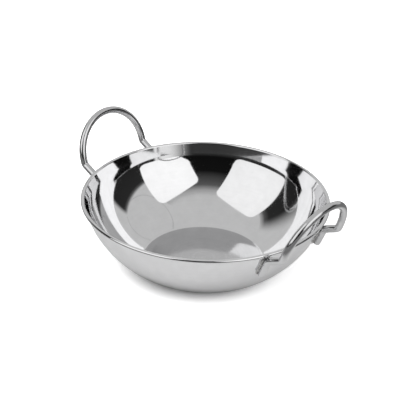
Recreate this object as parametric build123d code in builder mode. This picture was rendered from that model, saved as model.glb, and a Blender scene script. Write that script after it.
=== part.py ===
from build123d import *

import os
from math import acos, atan2, cos, degrees, hypot, radians, sin, sqrt

# Kadai: a small two-handled serving bowl in polished stainless steel. Millimetres.
# The origin is the centre of the base's underside, +Z is up and the handles lie on the X axis.

# Bowl: one pressed sheet with a flat base and an outward curled rim
rim_radius = 75.0  # to the outside of the curl
bowl_height = 44.7  # from the table to the top of the curl
base_radius = 37.5  # where the belly's curve would meet the table
sheet_thickness = 0.8  # the same everywhere
corner_radius = 6.0  # underside, where the base turns up into the belly
belly_shares = (0.892, 0.742)  # end of the belly's curve, across and up from the base's edge to the curl
belly_turn_share = 0.817  # its slope there, between the slopes of the lines to the base's edge and the curl
wall_turn_share = 0.87  # turn from the line to the curl to the upper wall, of the turn before that line
curl_diameter = 2.4  # outside of the rim's curl
curl_gap_share = 0.75  # gap between the curl's cut edge and the wall, of the curl's radius

# Handles: round wire bent to an arched loop with two feet
wire_diameter = 4.5  # the same everywhere
leg_spacing = 50.5  # between the centre lines of the two legs
loop_lean = 18.0  # degrees that the loop leans out from upright
leg_run = 1.0  # straight wire between the kink and the arch
kink_radius = 3.2  # centre line of the bend between stub and loop
stub_rise = 25.5  # degrees that the stubs rise on their way out
stub_run = 7.5  # straight wire between the two bends
foot_bend_radius = 5.0  # centre line of the bend between foot and stub
foot_run = 10.0  # straight wire that lies on the wall
curl_clearance = 0.2  # gap between the bend and the curl above it, in a plane through the bowl's axis
wire_end_round = 0.4  # deburred edge of the cut ends

# Welds: a low bead round each foot, where the wire is sunk a little into the sheet
wire_sink_share = 0.4  # depth of the wire in the sheet, of the sheet's thickness
weld_root_share = 0.9  # depth of the bead's root in the sheet, of the sheet's thickness
weld_side_margin = 1.2  # root of the bead beside the wire
weld_tip_margin = 2.0  # root of the bead past the foot's cut end
weld_bend_margin = 3.2  # root of the bead past the foot's other end, under the bend
weld_height = 0.8  # top of the bead above the wall's face
weld_slope = 42.0  # degrees that the bead's side leans in

os.makedirs("parts", exist_ok=True)

# Handle and welds are built on the right side. Those of the left side are the same after half a turn.
side_turns = (0, 180)
handle_names = ("right_handle", "left_handle")
weld_names = {-1: ("right_front_weld", "left_rear_weld"), 1: ("right_rear_weld", "left_front_weld")}

curl_radius = curl_diameter / 2
curl_inside = curl_radius - sheet_thickness
curl_centre = Vector(rim_radius - curl_radius, bowl_height - curl_radius)
curl_turn = 360 - degrees(acos(curl_inside / curl_radius - curl_gap_share))
wire_radius = wire_diameter / 2
wire_sink = wire_sink_share * sheet_thickness
wire_lift = wire_radius - wire_sink
weld_root = weld_root_share * sheet_thickness
leg_offset = leg_spacing / 2
weld_run = foot_run + weld_tip_margin + weld_bend_margin
weld_width = wire_diameter + 2 * weld_side_margin


def slope_of(line):
    """Degrees that a line in the XZ plane rises."""
    return degrees(atan2(line.Y, line.X))


def outward_at(slope):
    """Unit vector out of the underside, where the sheet has that slope."""
    return Vector(sin(radians(slope)), -cos(radians(slope)))


# Belly: the arc from the base's edge that ends with the wanted slope
base_edge = Vector(base_radius, 0)
across_share, up_share = belly_shares
to_curl = curl_centre - base_edge
belly_end = base_edge + Vector(across_share * to_curl.X, up_share * to_curl.Y)
belly_chord = belly_end - base_edge
wall_chord = curl_centre - belly_end
belly_turn = belly_turn_share * belly_chord.get_angle(wall_chord)
belly_slope = slope_of(belly_chord) + belly_turn
belly_radius = belly_chord.length / 2 / sin(radians(belly_turn))
belly_centre = belly_end - outward_at(belly_slope) * belly_radius

# Corner: the arc that touches the table and the belly
corner_slope = degrees(acos((belly_centre.Y - corner_radius) / (belly_radius - corner_radius)))
flat_radius = belly_centre.X + (belly_radius - corner_radius) * sin(radians(corner_slope))

# Shoulder: the arc that leaves the belly without a kink and runs into the straight upper wall. The end of the
# wall touches the curl from inside, because the curl's middle lies outside the wall.
wall_slope = slope_of(wall_chord) + wall_turn_share * (slope_of(wall_chord) - belly_slope)
wall_side = outward_at(wall_slope)
shoulder_turn = radians(wall_slope - belly_slope)
shoulder_radius = (wall_chord.dot(wall_side) - curl_inside) / (1 - cos(shoulder_turn))
shoulder_centre = belly_end - outward_at(belly_slope) * shoulder_radius
wall_run = wall_chord.dot(wall_side.rotate(Axis.Z, 90)) - shoulder_radius * sin(shoulder_turn)


def sheet_face(depth):
    """Line of one face of the sheet in the XZ plane, at a depth from the underside."""
    with BuildLine() as face:
        base = Line((0, depth), (flat_radius, depth))
        corner = JernArc(base @ 1, base % 1, corner_radius - depth, corner_slope)
        belly = JernArc(corner @ 1, corner % 1, belly_radius - depth, belly_slope - corner_slope)
        shoulder = JernArc(belly @ 1, belly % 1, shoulder_radius - depth, wall_slope - belly_slope)
        wall = Line(shoulder @ 1, shoulder @ 1 + shoulder % 1 * wall_run)
        JernArc(wall @ 1, wall % 1, curl_inside + depth, -curl_turn)
    return face.wire()


outside = sheet_face(0)
inside = sheet_face(sheet_thickness)

with BuildPart() as bowl:
    with BuildSketch(Plane.XZ):
        with BuildLine():
            add(outside)
            add(inside)
            Line(outside @ 0, inside @ 0)
            Line(outside @ 1, inside @ 1)
        make_face()
    revolve(axis=Axis.Z)
bowl.part.label = "bowl"
export_step(bowl.part, "parts/bowl.step")

# Seat of the feet on the shoulder, as high as the curl lets the bend above the foot be. Distances and slopes
# are those seen from the shoulder's centre.
to_curl_centre = curl_centre - shoulder_centre
bend_reach = shoulder_radius + wire_lift + foot_bend_radius
bend_distance = hypot(bend_reach, foot_run / 2)
bend_to_curl = foot_bend_radius + wire_radius + curl_radius + curl_clearance
both_squared = to_curl_centre.dot(to_curl_centre) + bend_distance**2
bend_turn = acos((both_squared - bend_to_curl**2) / (2 * to_curl_centre.length * bend_distance))
seat_slope = slope_of(to_curl_centre) + 90 - degrees(bend_turn + atan2(foot_run / 2, bend_reach))
seat_normal = outward_at(seat_slope)
seat = shoulder_centre + seat_normal * shoulder_radius

# The middle of a foot's centre line, and the foot's rise in the upright plane that its leg lies in
foot_middle = seat + seat_normal * wire_lift
foot_reach = sqrt(foot_middle.X**2 - leg_offset**2)
foot_height = foot_middle.Y
foot_rise = degrees(atan2(sin(radians(seat_slope)), cos(radians(seat_slope)) * foot_middle.X / foot_reach))
foot_start = (
    foot_reach - foot_run / 2 * cos(radians(foot_rise)),
    foot_height - foot_run / 2 * sin(radians(foot_rise)),
)
loop_rise = 90 - loop_lean

with BuildPart() as handle:
    with BuildLine(Plane(origin=(0, -leg_offset, 0), x_dir=(1, 0, 0), z_dir=(0, -1, 0))) as leg:
        foot = PolarLine(foot_start, foot_run, foot_rise)
        foot_bend = JernArc(foot @ 1, foot % 1, foot_bend_radius, stub_rise - foot_rise)
        stub = Line(foot_bend @ 1, foot_bend @ 1 + foot_bend % 1 * stub_run)
        kink = JernArc(stub @ 1, stub % 1, kink_radius, loop_rise - stub_rise)
        Line(kink @ 1, kink @ 1 + kink % 1 * leg_run)
    leg_top = kink @ 1 + kink % 1 * leg_run
    with BuildLine() as loop:
        add(leg.line)
        add(mirror(leg.line, about=Plane.XZ, mode=Mode.PRIVATE))
        crown = Vector(leg_top.X, 0, leg_top.Z) + kink % 1 * leg_offset
        ThreePointArc(leg_top, crown, (leg_top.X, leg_offset, leg_top.Z))
    wire = loop.wire()
    with BuildSketch(Plane(origin=wire @ 0, z_dir=wire % 0)):
        Circle(wire_radius)
    sweep(path=wire)
    fillet(handle.faces().filter_by(GeomType.PLANE).edges(), wire_end_round)
    whole_wire = handle.part
    add(bowl.part, mode=Mode.SUBTRACT)

for handle_name, side_turn in zip(handle_names, side_turns):
    with BuildPart() as turned_handle:
        add(handle.part, rotation=(0, 0, side_turn))
    turned_handle.part.label = handle_name
    export_step(turned_handle.part, f"parts/{handle_name}.step")

for end, end_names in weld_names.items():
    outward = Vector(foot_reach, end * leg_offset).normalized()
    root = outward * seat.X + Vector(0, 0, seat.Y)
    wall_normal = outward * seat_normal.X + Vector(0, 0, seat_normal.Y)
    foot_direction = Vector(cos(radians(foot_rise)), 0, sin(radians(foot_rise)))
    with BuildPart() as weld:
        with BuildSketch(Plane(root - wall_normal * weld_root, foot_direction, wall_normal)):
            with Locations(((weld_bend_margin - weld_tip_margin) / 2, 0)):
                SlotOverall(weld_run, weld_width)
        extrude(amount=weld_root + weld_height, taper=weld_slope)
        add(bowl.part, mode=Mode.SUBTRACT)
        add(whole_wire, mode=Mode.SUBTRACT)
    for weld_name, side_turn in zip(end_names, side_turns):
        with BuildPart() as turned_weld:
            add(weld.part, rotation=(0, 0, side_turn))
        turned_weld.part.label = weld_name
        export_step(turned_weld.part, f"parts/{weld_name}.step")
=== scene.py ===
import logging
from collections.abc import Callable, Iterator
from contextlib import contextmanager
from dataclasses import dataclass, field
from enum import Enum
from math import cos, pi, radians, sin, tan

import bmesh
import bpy
from mathutils import Matrix, Vector


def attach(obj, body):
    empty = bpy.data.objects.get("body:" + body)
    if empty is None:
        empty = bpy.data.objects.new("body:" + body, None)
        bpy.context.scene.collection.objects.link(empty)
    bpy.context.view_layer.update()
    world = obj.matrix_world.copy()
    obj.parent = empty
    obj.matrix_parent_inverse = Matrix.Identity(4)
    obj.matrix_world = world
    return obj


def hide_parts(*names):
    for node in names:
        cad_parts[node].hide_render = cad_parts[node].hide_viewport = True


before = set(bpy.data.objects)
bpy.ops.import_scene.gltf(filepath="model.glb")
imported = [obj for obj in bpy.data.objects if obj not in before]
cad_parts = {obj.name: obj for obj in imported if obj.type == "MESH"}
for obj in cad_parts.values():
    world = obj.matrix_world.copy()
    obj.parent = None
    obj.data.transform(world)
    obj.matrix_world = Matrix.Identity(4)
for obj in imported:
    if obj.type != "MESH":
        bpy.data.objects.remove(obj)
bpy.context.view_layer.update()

# A small two-handled kadai in polished stainless steel, on a white table in a soft studio.
# Metres. The origin is the centre of the base's underside, +Z is up and the handles lie on the X axis.

log = logging.getLogger("kadai")
UP = Vector((0.0, 0.0, 1.0))
PHOTO_AZIMUTH = 41.8  # degrees from -Y towards +X, where the photograph's camera stands
MERGE_DISTANCE = 0.000002
NOISE_MIDDLE = (0.3, 0.7)  # most values of a noise lie between these
ALL_BUT_GLOSSY = ("camera", "diffuse", "shadow", "transmission", "volume_scatter")
Colour = tuple[float, float, float]
Span = tuple[float, float]  # from low to high
Grain = tuple[float, ...]  # a noise's scale, then its detail and roughness
Socket = bpy.types.NodeSocket


class Side(Enum):
    """The two ends of the dish that carry a handle."""

    RIGHT = 1
    LEFT = -1

    @property
    def word(self) -> str:
        """The side's name in the CAD nodes."""
        return self.name.lower()


class End(Enum):
    """The two feet of a handle."""

    FRONT = -1
    REAR = 1

    @property
    def word(self) -> str:
        """The foot's name in the CAD nodes."""
        return self.name.lower()


# Tools of the bench

def only(piece: bpy.types.Object) -> None:
    """Makes one object the selected and active one."""
    bpy.ops.object.select_all(action="DESELECT")
    piece.select_set(True)
    bpy.context.view_layer.objects.active = piece


@contextmanager
def editing(piece: bpy.types.Object) -> Iterator[None]:
    """Edit mode on one piece, with nothing selected in it.

    Args:
        piece: The mesh to edit.
    """
    only(piece)
    bpy.ops.object.mode_set(mode="EDIT")
    bpy.ops.mesh.select_mode(type="VERT")
    bpy.ops.mesh.select_all(action="DESELECT")
    try:
        yield
    finally:
        bpy.ops.object.mode_set(mode="OBJECT")


def pick_verts(piece: bpy.types.Object, wanted: Callable[[Vector], bool]) -> None:
    """Selects the vertices in edit mode that lie in a wanted place.

    Args:
        piece: The mesh in edit mode.
        wanted: True for a vertex's place that is to be selected.
    """
    bpy.ops.mesh.select_all(action="DESELECT")
    shape = bmesh.from_edit_mesh(piece.data)
    for vert in shape.verts:
        vert.select = wanted(vert.co)
    shape.select_flush(True)
    bmesh.update_edit_mesh(piece.data)


def pick_edges(piece: bpy.types.Object, wanted: Callable[[bmesh.types.BMEdge], bool]) -> None:
    """Selects the wanted edges in edit mode.

    Args:
        piece: The mesh in edit mode.
        wanted: True for an edge that is to be selected.
    """
    bpy.ops.mesh.select_all(action="DESELECT")
    shape = bmesh.from_edit_mesh(piece.data)
    for edge in shape.edges:
        if wanted(edge):
            edge.select_set(True)
    bmesh.update_edit_mesh(piece.data)


def along(slope: float) -> Vector:
    """Unit vector in the XZ plane that rises by that many degrees."""
    return Vector((cos(radians(slope)), 0.0, sin(radians(slope))))


def draw_out(start: Vector, slope: float, run: float) -> Vector:
    """Extrudes the selected end of a mesh straight on in the XZ plane.

    Args:
        start: Where the guiding line stands.
        slope: Its rise, in degrees.
        run: How far to go.

    Returns:
        Where the guiding line stands afterwards.
    """
    step = along(slope) * run
    bpy.ops.mesh.extrude_region_move(TRANSFORM_OT_translate={"value": step})
    return start + step


def bend_round(start: Vector, slope: float, radius: float, turn: float, steps: int) -> Vector:
    """Carries the selected end of a mesh round an arc that leaves the guiding line without a kink.

    Args:
        start: Where the guiding line stands, in a plane parallel to XZ.
        slope: Its rise there, in degrees.
        radius: The arc's radius on the guiding line.
        turn: Degrees to turn, upwards if positive.
        steps: Parts of the arc.

    Returns:
        Where the guiding line stands afterwards.
    """
    side = 1.0 if turn > 0.0 else -1.0
    middle = start + along(slope + 90.0 * side) * radius
    bpy.ops.mesh.spin(steps=steps, angle=radians(abs(turn)), center=middle, axis=(0.0, side, 0.0))
    return middle - along(slope + turn + 90.0 * side) * radius


def close_shell() -> None:
    """Merges doubles and turns all faces of the mesh in edit mode outwards."""
    bpy.ops.mesh.select_all(action="SELECT")
    bpy.ops.mesh.remove_doubles(threshold=MERGE_DISTANCE)
    bpy.ops.mesh.normals_make_consistent(inside=False)


def smooth(piece: bpy.types.Object, crease: float = 40.0) -> None:
    """Shades a piece smooth, with large faces kept true.

    Args:
        piece: The mesh to shade.
        crease: Faces that meet at more degrees keep a sharp edge.
    """
    only(piece)
    bpy.ops.object.shade_smooth_by_angle(angle=radians(crease))
    bpy.ops.object.modifier_add(type="WEIGHTED_NORMAL")
    piece.modifiers[-1].keep_sharp = True
    bpy.ops.object.modifier_apply(modifier=piece.modifiers[-1].name)


def named(name: str) -> bpy.types.Object:
    """Names the active object and its mesh, and returns the object."""
    piece = bpy.context.object
    piece.name = name
    piece.data.name = name
    return piece


def clad(piece: bpy.types.Object, finish: bpy.types.Material) -> None:
    """Gives a finished piece its one material, and notes its faces.

    Args:
        piece: The piece.
        finish: The material.
    """
    piece.data.materials.clear()
    piece.data.materials.append(finish)
    log.info("%s: %d faces", piece.name, len(piece.data.polygons))


# Finishes

class Nodes:
    """A node tree that is filled from code."""

    def __init__(self, tree: bpy.types.NodeTree) -> None:
        """Empties the tree.

        Args:
            tree: The material's or the world's tree.
        """
        self.tree = tree
        tree.nodes.clear()

    def feed(self, socket: Socket, value: object) -> None:
        """Links a socket to an input, or sets the input's value."""
        if isinstance(value, Socket):
            self.tree.links.new(value, socket)
        else:
            socket.default_value = value

    def add(self, kind: str, inputs: dict[object, object], **options: object) -> bpy.types.Node:
        """A node with its inputs filled.

        Args:
            kind: The node's type.
            inputs: Values or links by the input's name or number.
            **options: The node's own settings.

        Returns:
            The node.
        """
        node = self.tree.nodes.new(kind)
        for name, value in options.items():
            setattr(node, name, value)
        for key, value in inputs.items():
            self.feed(node.inputs[key], value)
        return node

    def math(self, operation: str, *values: object) -> Socket:
        """A sum of one or two values, as a socket."""
        return self.add("ShaderNodeMath", dict(enumerate(values)), operation=operation).outputs[0]

    def ramp(self, value: object, *stops: tuple[float, float]) -> Socket:
        """A value bent through stops.

        Args:
            value: The socket to bend.
            *stops: Pairs of a place from 0 to 1 and the value there.

        Returns:
            The bent value.
        """
        node = self.add("ShaderNodeValToRGB", {0: value})
        marks = node.color_ramp.elements
        while len(marks) < len(stops):
            marks.new(0.5)
        for mark, (place, level) in zip(marks, stops):
            mark.position = place
            mark.color = (level, level, level, 1.0)
        return node.outputs["Color"]

    def spread(self, value: object, low: float, high: float) -> Socket:
        """Noise's middle range, spread from a low to a high value."""
        start, end = NOISE_MIDDLE
        inputs = {"Value": value, "From Min": start, "From Max": end, "To Min": low, "To Max": high}
        return self.add("ShaderNodeMapRange", inputs).outputs[0]

    def blend(self, share: object, first: object, second: object) -> Socket:
        """A mix of two colours."""
        return self.add("ShaderNodeMix", {0: share, 6: first, 7: second}, data_type="RGBA").outputs[2]

    def dot(self, first: object, second: object) -> Socket:
        """The dot product of two vectors."""
        inputs = {0: first, 1: second}
        return self.add("ShaderNodeVectorMath", inputs, operation="DOT_PRODUCT").outputs["Value"]

    def length(self, vector: object) -> Socket:
        """The length of a vector."""
        return self.math("SQRT", self.dot(vector, vector))

    def scaled(self, vector: object, factor: object) -> Socket:
        """A vector or colour times a factor."""
        return self.add("ShaderNodeVectorMath", {0: vector, 3: factor}, operation="SCALE").outputs[0]

    def between(self, value: object, low: float, high: float) -> Socket:
        """A value's place between two limits, from 0 to 1, eased at both ends."""
        inputs = {"Value": value, "From Min": low, "From Max": high}
        return self.add("ShaderNodeMapRange", inputs, interpolation_type="SMOOTHSTEP").outputs[0]

    def noise(self, place: object, scale: float, detail: float = 2.0, rough: float = 0.5) -> Socket:
        """Noise between 0 and 1 at a place."""
        inputs = {"Vector": place, "Scale": scale, "Detail": detail, "Roughness": rough}
        return self.add("ShaderNodeTexNoise", inputs).outputs[0]

    def bump(self, height: object, depth: float, strength: float, **under: object) -> Socket:
        """A bumped normal from a height, on top of the input Normal where that is given."""
        inputs = {"Height": height, "Distance": depth, "Strength": strength, **under}
        return self.add("ShaderNodeBump", inputs).outputs[0]

    def surface(self, shader: bpy.types.Node) -> None:
        """Ends the material with a shader."""
        self.add("ShaderNodeOutputMaterial", {"Surface": shader.outputs[0]})


def blank_material(name: str) -> tuple[bpy.types.Material, Nodes]:
    """A material without nodes.

    Args:
        name: The material's name.

    Returns:
        The material and its node tree.
    """
    material = bpy.data.materials.new(name)
    material.use_nodes = True
    return material, Nodes(material.node_tree)


@dataclass(frozen=True)
class Metal:
    """Bare stainless steel."""

    name: str
    tint: Colour
    roughness: Span

    def start(self) -> tuple[bpy.types.Material, Nodes, bpy.types.Node, Socket]:
        """Begins the material.

        Returns:
            The material, its nodes, its shader and the place on the piece.
        """
        material, nodes = blank_material(self.name)
        shader = nodes.add("ShaderNodeBsdfPrincipled", {"Base Color": (*self.tint, 1.0), "Metallic": 1.0})
        nodes.surface(shader)
        return material, nodes, shader, nodes.add("ShaderNodeTexCoord", {}).outputs["Object"]


@dataclass(frozen=True)
class PolishedSheet(Metal):
    """Mirror-polished sheet, with a satin disc on the base that is dished for the light alone."""

    name: str = "polished_sheet"
    tint: Colour = (0.67, 0.67, 0.675)
    roughness: Span = (0.035, 0.07)
    haze: Grain = (60.0, 3.0)
    wear: Grain = (160.0, 4.0)
    wear_tones: Span = (0.97, 1.025)
    spun_scale: float = 900.0
    spun_tones: Span = (0.988, 1.008)
    wave: Grain = (45.0, 1.0)
    wave_depth: float = 0.0006
    wave_strength: float = 0.05
    disc_tint: Colour = (0.57, 0.57, 0.575)
    disc_radius: float = 0.0365
    disc_blur: float = 0.0004
    disc_top: float = 0.003
    disc_dish: float = 0.36
    disc_roughness: Span = (0.03, 0.07)
    ring_scale: float = 2600.0
    streaks: Grain = (0.5, 3.0)
    streak_tones: Span = (0.93, 1.05)

    def build(self) -> bpy.types.Material:
        """Returns: the finished material."""
        material, nodes, shader, place = self.start()
        across = nodes.add("ShaderNodeSeparateXYZ", {0: place}).outputs
        squares = [nodes.math("POWER", across[axis], 2.0) for axis in (0, 1)]
        radius = nodes.math("SQRT", nodes.math("ADD", *squares))
        edge = {"From Min": self.disc_radius + self.disc_blur, "From Max": self.disc_radius - self.disc_blur}
        on_disc = nodes.add("ShaderNodeMapRange", {"Value": radius, **edge}).outputs[0]
        on_disc = nodes.math("MULTIPLY", on_disc, nodes.math("LESS_THAN", across[2], self.disc_top))
        ring_place = nodes.math("MULTIPLY", radius, self.ring_scale)
        ring = nodes.add("ShaderNodeCombineXYZ", {0: ring_place}).outputs[0]
        spun_places = [nodes.math("MULTIPLY", way, self.spun_scale) for way in (radius, across[2])]
        spun = nodes.add("ShaderNodeCombineXYZ", dict(enumerate(spun_places))).outputs[0]
        worn = nodes.math("MULTIPLY", nodes.spread(nodes.noise(spun, 1.0), *self.spun_tones),
                          nodes.spread(nodes.noise(place, *self.wear), *self.wear_tones))
        streaked = nodes.spread(nodes.noise(ring, *self.streaks), *self.streak_tones)
        bare = nodes.blend(on_disc, (*self.tint, 1.0), nodes.scaled(self.disc_tint, streaked))
        nodes.feed(shader.inputs["Base Color"], nodes.scaled(bare, worn))
        wall = nodes.spread(nodes.noise(place, *self.haze), *self.roughness)
        disc = nodes.spread(nodes.noise(ring, 1.0), *self.disc_roughness)
        nodes.feed(shader.inputs["Roughness"], nodes.blend(on_disc, wall, disc))
        inner = nodes.math("MINIMUM", radius, self.disc_radius)
        depth = nodes.math("DIVIDE", nodes.math("MULTIPLY", inner, inner), 2.0 * self.disc_dish)
        dished = nodes.bump(depth, 1.0, 1.0)
        waves = nodes.noise(place, *self.wave)
        rolled = nodes.bump(waves, self.wave_depth, self.wave_strength, Normal=dished)
        nodes.feed(shader.inputs["Normal"], rolled)
        return material


@dataclass(frozen=True)
class PolishedWire(Metal):
    """Drawn wire, polished by hand after it was bent."""

    name: str = "polished_wire"
    tint: Colour = (0.57, 0.57, 0.575)
    roughness: Span = (0.09, 0.19)
    haze: Grain = (140.0, 4.0, 0.6)
    scratches: Grain = (900.0, 3.0)
    scratch_depth: float = 0.0002
    scratch_strength: float = 0.08

    def build(self) -> bpy.types.Material:
        """Returns: the finished material."""
        material, nodes, shader, place = self.start()
        rough = nodes.spread(nodes.noise(place, *self.haze), *self.roughness)
        nodes.feed(shader.inputs["Roughness"], rough)
        scratched = nodes.noise(place, *self.scratches)
        nodes.feed(shader.inputs["Normal"], nodes.bump(scratched, self.scratch_depth, self.scratch_strength))
        return material


@dataclass(frozen=True)
class WeldedSteel(Metal):
    """A bead that was ground and brushed but not polished, faintly tinted by the heat."""

    name: str = "welded_steel"
    tint: Colour = (0.66, 0.655, 0.65)
    roughness: Span = (0.22, 0.42)
    haze: Grain = (400.0, 3.0)
    oxide_tint: Colour = (0.13, 0.126, 0.12)
    mottle: Grain = (700.0, 4.0, 0.65)
    mottle_edges: Span = (0.32, 0.66)
    mottle_depth: float = 0.0004
    mottle_strength: float = 0.5

    def build(self) -> bpy.types.Material:
        """Returns: the finished material."""
        material, nodes, shader, place = self.start()
        mottled = nodes.noise(place, *self.mottle)
        dark_to, bright_from = self.mottle_edges
        share = nodes.ramp(mottled, (dark_to, 0.0), (bright_from, 1.0))
        tinted = nodes.blend(share, (*self.oxide_tint, 1.0), (*self.tint, 1.0))
        nodes.feed(shader.inputs["Base Color"], tinted)
        rough = nodes.spread(nodes.noise(place, *self.haze), *self.roughness)
        nodes.feed(shader.inputs["Roughness"], rough)
        nodes.feed(shader.inputs["Normal"], nodes.bump(mottled, self.mottle_depth, self.mottle_strength))
        return material


# The dish

@dataclass
class Bowl:
    """One pressed sheet: a flat base, a corner, the belly, a shoulder, a steep upper wall and the rim's curl.

    Radii and slopes are those of the sheet's underside, as the CAD works them out.
    """

    name: str = "bowl_sheet"
    node: str = "bowl"
    sheet: float = 0.0008
    flat_radius: float = 0.0362027
    corner_radius: float = 0.006
    corner_slope: float = 25.0319
    belly_radius: float = 0.0634772
    belly_slope: float = 66.0168
    shoulder_radius: float = 0.0381011
    wall_slope: float = 74.8581
    wall_run: float = 0.0060014
    curl_inside: float = 0.0004
    curl_turn: float = 245.376
    support: float = 0.0008
    corner_steps: int = 8
    belly_steps: int = 24
    shoulder_steps: int = 8
    curl_steps: int = 44
    round_steps: int = 288
    finish: PolishedSheet = field(default_factory=PolishedSheet)

    def section(self) -> bpy.types.Object:
        """Returns: the outline of the cut sheet in the XZ plane, open at the axis."""
        flat = self.flat_radius - self.support
        bpy.ops.object.select_all(action="DESELECT")
        bpy.ops.mesh.primitive_plane_add(size=1.0, location=(flat / 2.0, 0.0, self.sheet / 2.0),
                                         rotation=(pi / 2.0, 0.0, 0.0))
        piece = named(self.name)
        piece.scale = (flat, self.sheet, 1.0)
        bpy.ops.object.transform_apply(location=True, rotation=True, scale=True)
        with editing(piece):
            pick_verts(piece, lambda place: place.x > flat / 2.0)
            under = draw_out(Vector((flat, 0.0, 0.0)), 0.0, self.support)
            arcs = (
                (self.corner_radius, 0.0, self.corner_slope, self.corner_steps),
                (self.belly_radius, self.corner_slope, self.belly_slope, self.belly_steps),
                (self.shoulder_radius, self.belly_slope, self.wall_slope, self.shoulder_steps),
            )
            for radius, slope, end_slope, steps in arcs:
                under = bend_round(under, slope, radius, end_slope - slope, steps)
            under = draw_out(under, self.wall_slope, self.wall_run)
            bend_round(under, self.wall_slope, self.curl_inside, -self.curl_turn, self.curl_steps)
            pick_edges(piece, lambda edge: not edge.is_boundary)
            bpy.ops.mesh.delete(type="EDGE_FACE")
            pick_edges(piece, lambda edge: max(vert.co.x for vert in edge.verts) < self.support)
            bpy.ops.mesh.delete(type="EDGE_FACE")
        return piece

    def build(self) -> bpy.types.Object:
        """Revolves the section and dresses it.

        Returns:
            The bowl.
        """
        piece = self.section()
        with editing(piece):
            bpy.ops.mesh.select_all(action="SELECT")
            bpy.ops.mesh.spin(steps=self.round_steps, angle=2.0 * pi, center=(0.0, 0.0, 0.0), axis=UP)
            close_shell()
        smooth(piece)
        clad(piece, self.finish.build())
        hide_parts(self.node)
        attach(piece, "root")
        return piece


@dataclass
class Handle:
    """Round wire, bent to two feet on the wall, two stubs and one arched loop."""

    wire_radius: float = 0.00225
    leg_offset: float = 0.02525
    foot_start: tuple[float, float] = (0.0661262, 0.0290098)
    foot_rise: float = 68.1029
    foot_run: float = 0.010
    foot_bend_radius: float = 0.005
    stub_rise: float = 25.5
    stub_run: float = 0.0075
    kink_radius: float = 0.0032
    loop_rise: float = 72.0
    leg_run: float = 0.001
    end_round: float = 0.0004
    sides: int = 40
    bend_steps: int = 12
    loop_steps: int = 36
    end_steps: int = 4
    seam: float = 0.00001
    finish: PolishedWire = field(default_factory=PolishedWire)

    def half(self) -> bpy.types.Object:
        """Returns: the front half of the right handle's wire, from the cut end to the crown."""
        reach, height = self.foot_start
        start = Vector((reach, -self.leg_offset, height))
        bpy.ops.object.select_all(action="DESELECT")
        bpy.ops.mesh.primitive_circle_add(vertices=self.sides, radius=self.wire_radius, location=start,
                                          rotation=(0.0, radians(90.0 - self.foot_rise), 0.0))
        piece = named("right_wire")
        bpy.ops.object.transform_apply(location=True, rotation=True, scale=True)
        with editing(piece):
            bpy.ops.mesh.select_all(action="SELECT")
            line = draw_out(start, self.foot_rise, self.foot_run)
            turn = self.stub_rise - self.foot_rise
            line = bend_round(line, self.foot_rise, self.foot_bend_radius, turn, self.bend_steps)
            line = draw_out(line, self.stub_rise, self.stub_run)
            turn = self.loop_rise - self.stub_rise
            line = bend_round(line, self.stub_rise, self.kink_radius, turn, self.bend_steps)
            line = draw_out(line, self.loop_rise, self.leg_run)
            axis = Vector((sin(radians(self.loop_rise)), 0.0, -cos(radians(self.loop_rise))))
            bpy.ops.mesh.spin(steps=self.loop_steps, angle=pi / 2.0, center=(line.x, 0.0, line.z), axis=axis)
            pick_edges(piece, lambda edge: edge.is_boundary and edge.verts[0].co.y < -self.leg_offset / 2.0)
            bpy.ops.mesh.edge_face_add()
            bpy.ops.mesh.bevel(offset=self.end_round, segments=self.end_steps, affect="EDGES")
        return piece

    def build(self) -> list[bpy.types.Object]:
        """Mirrors the half, copies the handle to the other side and dresses both.

        Returns:
            The two handles.
        """
        right = self.half()
        only(right)
        bpy.ops.object.modifier_add(type="MIRROR")
        mirror = right.modifiers[-1]
        mirror.use_axis = (False, True, False)
        mirror.merge_threshold = self.seam
        bpy.ops.object.modifier_apply(modifier=mirror.name)
        with editing(right):
            close_shell()
        smooth(right)
        bpy.ops.object.duplicate()
        left = named("left_wire")
        bpy.ops.transform.rotate(value=pi, orient_axis="Z", center_override=(0.0, 0.0, 0.0))
        bpy.ops.object.transform_apply(location=True, rotation=True, scale=True)
        finish = self.finish.build()
        for piece, side in ((right, Side.RIGHT), (left, Side.LEFT)):
            clad(piece, finish)
            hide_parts(f"{side.word}_handle")
            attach(piece, "root")
        return [right, left]


@dataclass
class Welds:
    """The four beads round the feet, laid by hand and only brushed off."""

    voxel: float = 0.00022
    ripple: float = 0.0004
    calming: int = 3
    calm_share: float = 0.5
    sinking: float = 0.0001
    crease: float = 80.0
    finish: WeldedSteel = field(default_factory=WeldedSteel)

    def bead(self, name: str, seed: int) -> bpy.types.Object:
        """One bead from the plain one of the CAD.

        Args:
            name: The CAD node's name.
            seed: Picks the bead's own ripple.

        Returns:
            The bead.
        """
        bpy.ops.object.select_all(action="DESELECT")
        bpy.ops.mesh.primitive_plane_add(size=self.voxel)
        piece = named(name.replace("weld", "bead"))
        piece.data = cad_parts[name].data.copy()
        with editing(piece):
            close_shell()
        piece.data.remesh_voxel_size = self.voxel
        bpy.ops.object.voxel_remesh()
        with editing(piece):
            bpy.ops.mesh.select_all(action="SELECT")
            bpy.ops.transform.vertex_random(offset=self.ripple, uniform=0.0, normal=1.0, seed=seed)
            bpy.ops.mesh.vertices_smooth(factor=self.calm_share, repeat=self.calming)
            middle = sum((vert.co for vert in piece.data.vertices), Vector()) / len(piece.data.vertices)
            inwards = -Vector((middle.x, middle.y, 0.0)).normalized()
            bpy.ops.transform.translate(value=inwards * self.sinking)
            close_shell()
        smooth(piece, self.crease)
        return piece

    def build(self) -> list[bpy.types.Object]:
        """Lays and dresses the beads.

        Returns:
            The four beads.
        """
        finish = self.finish.build()
        names = [f"{side.word}_{end.word}_weld" for side in Side for end in End]
        beads = [self.bead(name, seed) for seed, name in enumerate(names)]
        for name, bead in zip(names, beads):
            clad(bead, finish)
            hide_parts(name)
            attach(bead, "root")
        return beads


# The studio

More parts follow.
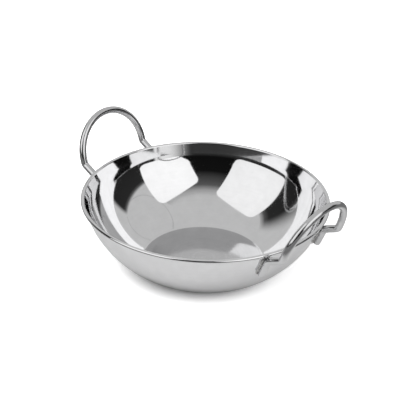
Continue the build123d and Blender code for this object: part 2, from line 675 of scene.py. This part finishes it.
@dataclass(frozen=True)
class Rig:
    """Directions in the studio, counted from the line from the camera to the dish."""

    camera_azimuth: float = PHOTO_AZIMUTH

    def towards(self, azimuth: float, elevation: float) -> Vector:
        """Unit vector to a place in the studio.

        Args:
            azimuth: Degrees to the right of the line of sight.
            elevation: Degrees above the horizon.

        Returns:
            The direction in the row frame.
        """
        turn = radians(azimuth - self.camera_azimuth)
        flat = Vector((sin(turn), cos(turn), 0.0)) * cos(radians(elevation))
        return flat + UP * sin(radians(elevation))

    def hang(self, holder: bpy.types.Object, place: Vector, facing: Vector, roll: float = 0.0) -> None:
        """Hangs a flat thing in the studio with its face, -Z, towards the dish.

        Args:
            holder: The object to hang.
            place: Where its middle goes.
            facing: The direction from the dish that its back turns to.
            roll: Degrees to turn it about that direction.
        """
        right = facing.cross(UP).normalized()
        up = right.cross(facing)
        turn = Matrix.Rotation(radians(-roll), 3, facing)
        right, up = turn @ right, turn @ up
        holder.matrix_world = Matrix.Translation(place) @ Matrix((-right, up, facing)).transposed().to_4x4()


@dataclass(frozen=True)
class Table:
    """The white table top. It is brighter to the camera, and painted shade is put into its colour: a painted
    shadow round the dish's foot and, seen only in reflections, painted shade under the dish and far from it.
    """

    reach: float = 6.0
    paint: float = 0.85
    lift: float = 0.8
    # The next three: painted shade on the table far from the dish, seen only in reflections.
    bright_to: float = 0.1
    dim_from: float = 0.17
    dim_paint: float = 0.22
    # The next five: a painted shadow round the dish's foot, set a little to one side of it.
    dark_to: float = 0.0372
    clear_from: float = 0.056
    dark_share: float = 0.52
    drift: float = 0.0052
    drift_azimuth: float = -110.0
    # The next two: painted shade under the dish's overhang, seen only in reflections.
    under_to: float = 0.072
    under_share: float = 0.25

    def build(self, rig: Rig) -> bpy.types.Object:
        """Lays the table top.

        Args:
            rig: The studio's directions.

        Returns:
            The table top.
        """
        bpy.ops.object.select_all(action="DESELECT")
        bpy.ops.mesh.primitive_plane_add(size=self.reach)
        top = named("table_top")
        material, nodes = blank_material("white_table")
        rays = nodes.add("ShaderNodeLightPath", {}).outputs
        mirrored = rays["Is Glossy Ray"]
        place = nodes.add("ShaderNodeTexCoord", {}).outputs["Object"]
        radius = nodes.length(place)
        # Painted shade for glossy rays: far from the dish, the table's colour fades to a darker level.
        far = nodes.between(radius, self.bright_to, self.dim_from)
        far_painted_shade = nodes.math("MULTIPLY", nodes.math("MULTIPLY", far, self.paint - self.dim_paint), mirrored)
        lifted = nodes.math("ADD", self.paint, nodes.math("MULTIPLY", rays["Is Camera Ray"], self.lift))
        # Painted shadow for all rays: the table's colour darkens towards the dish's foot, round a middle set
        # a little aside.
        middle = rig.towards(self.drift_azimuth, 0.0) * self.drift
        from_shadow_middle = nodes.add("ShaderNodeVectorMath", {0: place, 1: middle}, operation="SUBTRACT").outputs[0]
        clear = nodes.math("SQRT", nodes.between(nodes.length(from_shadow_middle), self.dark_to, self.clear_from))
        unshadowed_share = nodes.math("ADD", 1.0 - self.dark_share, nodes.math("MULTIPLY", clear, self.dark_share))
        # Painted shade for glossy rays: under the dish, the table's colour darkens towards the foot.
        past = nodes.between(radius, self.dark_to, self.under_to)
        under = nodes.math("MULTIPLY", nodes.math("SUBTRACT", 1.0, past), mirrored)
        lit_share = nodes.math("SUBTRACT", 1.0, nodes.math("MULTIPLY", under, self.under_share))
        unshadowed_share = nodes.math("MULTIPLY", unshadowed_share, lit_share)
        white = nodes.math("MULTIPLY", nodes.math("SUBTRACT", lifted, far_painted_shade), unshadowed_share)
        nodes.surface(nodes.add("ShaderNodeBsdfDiffuse", {"Color": white}))
        top.data.materials.append(material)
        return top


@dataclass(frozen=True)
class Room:
    """The even grey light of the room, and the white backdrop behind the dish."""

    level: float = 0.72
    ambient: float = 0.62

    def build(self) -> None:
        """Sets the world."""
        world = bpy.data.worlds.new("room")
        bpy.context.scene.world = world
        world.use_nodes = True
        nodes = Nodes(world.node_tree)
        rays = nodes.add("ShaderNodeLightPath", {}).outputs
        more = nodes.math("MULTIPLY", rays["Is Glossy Ray"], self.level - self.ambient)
        level = nodes.math("ADD", self.ambient, more)
        light = nodes.add("ShaderNodeBackground", {"Color": (1.0, 1.0, 1.0, 1.0), "Strength": level})
        white = nodes.add("ShaderNodeBackground", {"Color": (1.0, 1.0, 1.0, 1.0), "Strength": 1.0})
        shares = {0: rays["Is Camera Ray"], 1: light.outputs[0], 2: white.outputs[0]}
        mixed = nodes.add("ShaderNodeMixShader", shares)
        nodes.add("ShaderNodeOutputWorld", {"Surface": mixed.outputs[0]})


def unseen(piece: bpy.types.Object, *rays: str) -> None:
    """Hides an object from some kinds of rays."""
    for ray in rays:
        setattr(piece, f"visible_{ray}", False)


@dataclass(frozen=True)
class Softbox:
    """A large lamp with a diffuser: a bright cloth that the steel mirrors, and the light that it gives."""

    name: str
    azimuth: float
    elevation: float
    facing: tuple[float, float]
    roll: float
    width: float
    height: float
    level: float
    light: float
    distance: float = 2.4
    corner: float = 0.12
    edge: float = 0.03
    fall: float = 0.14
    deep: float = 1.42
    deep_from: float = 1.5

    def cloth(self) -> bpy.types.Material:
        """Returns: the glowing cloth, a little darker to its rim, with rounded corners."""
        material, nodes = blank_material(self.name)
        place = nodes.add("ShaderNodeTexCoord", {}).outputs["Object"]
        inner = Vector((self.width / 2.0 - self.corner, self.height / 2.0 - self.corner, 0.0)) * self.distance
        across = nodes.add("ShaderNodeVectorMath", {0: place}, operation="ABSOLUTE").outputs[0]
        past = nodes.add("ShaderNodeVectorMath", {0: across, 1: inner}, operation="SUBTRACT").outputs[0]
        past = nodes.add("ShaderNodeVectorMath", {0: past, 1: Vector()}, operation="MAXIMUM").outputs[0]
        rim = self.corner * self.distance
        outside = nodes.between(nodes.length(past), rim - self.edge, rim)
        fall = self.fall / (self.width * self.distance) ** 2.0
        spread = nodes.math("MULTIPLY", nodes.dot(place, place), fall)
        depth = nodes.add("ShaderNodeLightPath", {}).outputs["Glossy Depth"]
        again = nodes.math("MULTIPLY", nodes.math("GREATER_THAN", depth, self.deep_from), self.deep - 1.0)
        fallen = nodes.math("SUBTRACT", self.level, spread)
        level = nodes.math("MULTIPLY", fallen, nodes.math("ADD", again, 1.0))
        glow = nodes.add("ShaderNodeEmission", {"Strength": level})
        clear = nodes.add("ShaderNodeBsdfTransparent", {})
        both = nodes.add("ShaderNodeMixShader", {0: outside, 1: glow.outputs[0], 2: clear.outputs[0]})
        nodes.surface(both)
        return material

    def build(self, rig: Rig) -> None:
        """Hangs the softbox.

        Args:
            rig: The studio's directions.
        """
        place = rig.towards(self.azimuth, self.elevation) * self.distance
        facing = rig.towards(*self.facing)
        bpy.ops.object.select_all(action="DESELECT")
        bpy.ops.mesh.primitive_plane_add(size=1.0)
        piece = named(self.name)
        piece.scale = (self.width * self.distance, self.height * self.distance, 1.0)
        bpy.ops.object.transform_apply(location=False, rotation=False, scale=True)
        piece.data.materials.append(self.cloth())
        rig.hang(piece, place, facing, self.roll)
        unseen(piece, *ALL_BUT_GLOSSY)
        lamp = bpy.data.lights.new(self.name, "AREA")
        lamp.shape = "RECTANGLE"
        lamp.size = self.width * self.distance
        lamp.size_y = self.height * self.distance
        lamp.energy = self.light * pi * lamp.size * lamp.size_y
        holder = bpy.data.objects.new(f"{self.name}_light", lamp)
        bpy.context.scene.collection.objects.link(holder)
        unseen(holder, "camera", "glossy")
        rig.hang(holder, place, facing, self.roll)


@dataclass(frozen=True)
class Hoop:
    """The thin rim of a round reflector, seen only in reflections."""

    azimuth: float = 68.5
    elevation: float = 47.5
    spread: float = 19.5
    widening: float = 1.25
    thickness: float = 0.3
    level: float = 0.54
    distance: float = 3.4
    round_steps: int = 96
    tube_steps: int = 8

    def build(self, rig: Rig) -> None:
        """Hangs the hoop.

        Args:
            rig: The studio's directions.
        """
        bpy.ops.object.select_all(action="DESELECT")
        bpy.ops.mesh.primitive_torus_add(major_segments=self.round_steps, minor_segments=self.tube_steps,
                                         major_radius=self.distance * tan(radians(self.spread)),
                                         minor_radius=self.distance * tan(radians(self.thickness)))
        piece = named("hoop")
        piece.scale = (self.widening, 1.0, 1.0)
        bpy.ops.object.transform_apply(location=False, rotation=False, scale=True)
        material, nodes = blank_material("hoop")
        nodes.surface(nodes.add("ShaderNodeEmission", {"Strength": self.level}))
        piece.data.materials.append(material)
        ahead = rig.towards(self.azimuth, self.elevation)
        rig.hang(piece, ahead * self.distance, ahead)
        unseen(piece, *ALL_BUT_GLOSSY)


@dataclass(frozen=True)
class Curtain:
    """A piece of the studio's surroundings, seen only in reflections: a curved cloth round the table."""

    name: str
    azimuths: tuple[float, float]
    levels: tuple[tuple[float, float], ...]
    fades: tuple[float, float] = (0.01, 0.01)
    beyond: float = 0.72
    radius: float = 2.8
    round_steps: int = 24

    def cloth(self, rig: Rig, low: float, high: float) -> bpy.types.Material:
        """The cloth, which glows by its height and fades into the room at its sides.

        Args:
            rig: The studio's directions.
            low: Height of the lower edge.
            high: Height of the upper edge.

        Returns:
            The material.
        """
        material, nodes = blank_material(self.name)
        place = nodes.add("ShaderNodeTexCoord", {}).outputs["Object"]
        inputs = {"Value": nodes.dot(place, UP), "From Min": low, "From Max": high}
        share = nodes.add("ShaderNodeMapRange", inputs).outputs[0]
        stops = [((self.radius * tan(radians(at)) - low) / (high - low), level) for at, level in self.levels]
        level = nodes.ramp(share, *stops)
        first, last = self.azimuths
        middle, half = (first + last) / 2.0, radians(last - first) / 2.0
        turn = nodes.math("ARCTAN2", nodes.dot(place, rig.towards(middle + 90.0, 0.0)),
                          nodes.dot(place, rig.towards(middle, 0.0)))
        before, after = (radians(fade) for fade in self.fades)
        fading = (nodes.between(turn, before - half, -half), nodes.between(turn, half - after, half))
        faded = nodes.math("MAXIMUM", *fading)
        missing = nodes.math("MULTIPLY", nodes.math("SUBTRACT", self.beyond, level), faded)
        nodes.surface(nodes.add("ShaderNodeEmission", {"Strength": nodes.math("ADD", level, missing)}))
        return material

    def build(self, rig: Rig) -> None:
        """Hangs the curtain.

        Args:
            rig: The studio's directions.
        """
        low, high = (self.radius * tan(radians(self.levels[i][0])) for i in (0, -1))
        first, last = self.azimuths
        start = rig.towards(first, 0.0) * self.radius
        bpy.ops.object.select_all(action="DESELECT")
        bpy.ops.mesh.primitive_plane_add(size=1.0)
        piece = named(self.name)
        with editing(piece):
            bpy.ops.mesh.select_all(action="SELECT")
            bpy.ops.mesh.merge(type="CENTER")
            bpy.ops.transform.translate(value=start + UP * low)
            bpy.ops.mesh.extrude_region_move(TRANSFORM_OT_translate={"value": UP * (high - low)})
            bpy.ops.mesh.select_all(action="SELECT")
            bpy.ops.mesh.spin(steps=self.round_steps, angle=radians(last - first), center=(0.0, 0.0, 0.0),
                              axis=UP)
        piece.data.materials.append(self.cloth(rig, low, high))
        unseen(piece, *ALL_BUT_GLOSSY)


@dataclass(frozen=True)
class PhotoCamera:
    """The camera of the photograph, found from the outlines of the dish."""

    azimuth: float = PHOTO_AZIMUTH
    elevation: float = 30.36
    distance: float = 0.661
    height: float = 0.020
    pan: float = 0.293
    tilt: float = 1.607
    roll: float = 1.947
    lens: float = 96.86
    near: float = 0.01

    def build(self) -> bpy.types.Object:
        """Returns: the scene's camera."""
        azimuth, elevation = radians(self.azimuth), radians(self.elevation)
        back = Vector((sin(azimuth) * cos(elevation), -cos(azimuth) * cos(elevation), sin(elevation)))
        right = Vector((cos(azimuth), sin(azimuth), 0.0))
        up = back.cross(right)
        panned = Matrix.Rotation(radians(self.pan), 3, up)
        ahead, right = panned @ -back, panned @ right
        ahead = Matrix.Rotation(radians(self.tilt), 3, right) @ ahead
        up = right.cross(ahead)
        roll = radians(self.roll)
        right, up = right * cos(roll) + up * sin(roll), up * cos(roll) - right * sin(roll)
        data = bpy.data.cameras.new("camera")
        data.lens = self.lens
        data.clip_start = self.near
        camera = bpy.data.objects.new("camera", data)
        bpy.context.scene.collection.objects.link(camera)
        camera.matrix_world = (Matrix.Translation(UP * self.height + back * self.distance)
                               @ Matrix((right, up, -ahead)).transposed().to_4x4())
        bpy.context.scene.camera = camera
        return camera


@dataclass
class Studio:
    """White table, two softboxes, a hoop, grey room and the parts of the room that the steel mirrors."""

    rig: Rig = field(default_factory=Rig)
    softboxes: tuple[Softbox, ...] = (
        Softbox("left_softbox", azimuth=-120.6, elevation=42.6, facing=(-124.0, 20.9), roll=0.0,
                width=1.011, height=1.089, level=1.29, light=1.9),
        Softbox("right_softbox", azimuth=139.4, elevation=33.1, facing=(118.7, 28.3), roll=2.9,
                width=0.966, height=0.856, level=1.41, light=1.9),
    )
    curtains: tuple[Curtain, ...] = (
        Curtain("rear_dark", azimuths=(109.0, 266.0),
                levels=((0.5, 0.1), (6.0, 0.04), (12.0, 0.006), (33.0, 0.008), (40.0, 0.063), (49.0, 0.125),
                        (55.0, 0.46), (61.0, 0.68), (64.0, 0.72))),
        Curtain("right_horizon", azimuths=(126.0, 166.0), levels=((0.3, 1.1), (6.0, 1.1), (9.5, 1.0)),
                fades=(3.0, 27.0), beyond=0.04, radius=2.7),
        Curtain("right_dark", azimuths=(60.0, 108.9),
                levels=((0.5, 0.02), (25.0, 0.03), (27.0, 0.12), (29.0, 0.6)), fades=(6.0, 0.01)),
        Curtain("left_dark", azimuths=(-93.9, -50.0),
                levels=((0.5, 0.02), (41.0, 0.03), (45.0, 0.1), (49.0, 0.6)), fades=(0.01, 22.0)),
    )

    def build(self) -> None:
        """Sets up the studio and the camera."""
        Table().build(self.rig)
        Room().build()
        Hoop().build(self.rig)
        for softbox in self.softboxes:
            softbox.build(self.rig)
        for curtain in self.curtains:
            curtain.build(self.rig)
        PhotoCamera().build()
        bpy.context.scene.view_settings.view_transform = "Standard"


def main() -> None:
    """Builds the dish and its studio; the dish's pieces note their faces."""
    logging.basicConfig(level=logging.INFO, format="%(message)s")
    Bowl().build()
    Handle().build()
    Welds().build()
    Studio().build()


if __name__ == "__main__":
    main()
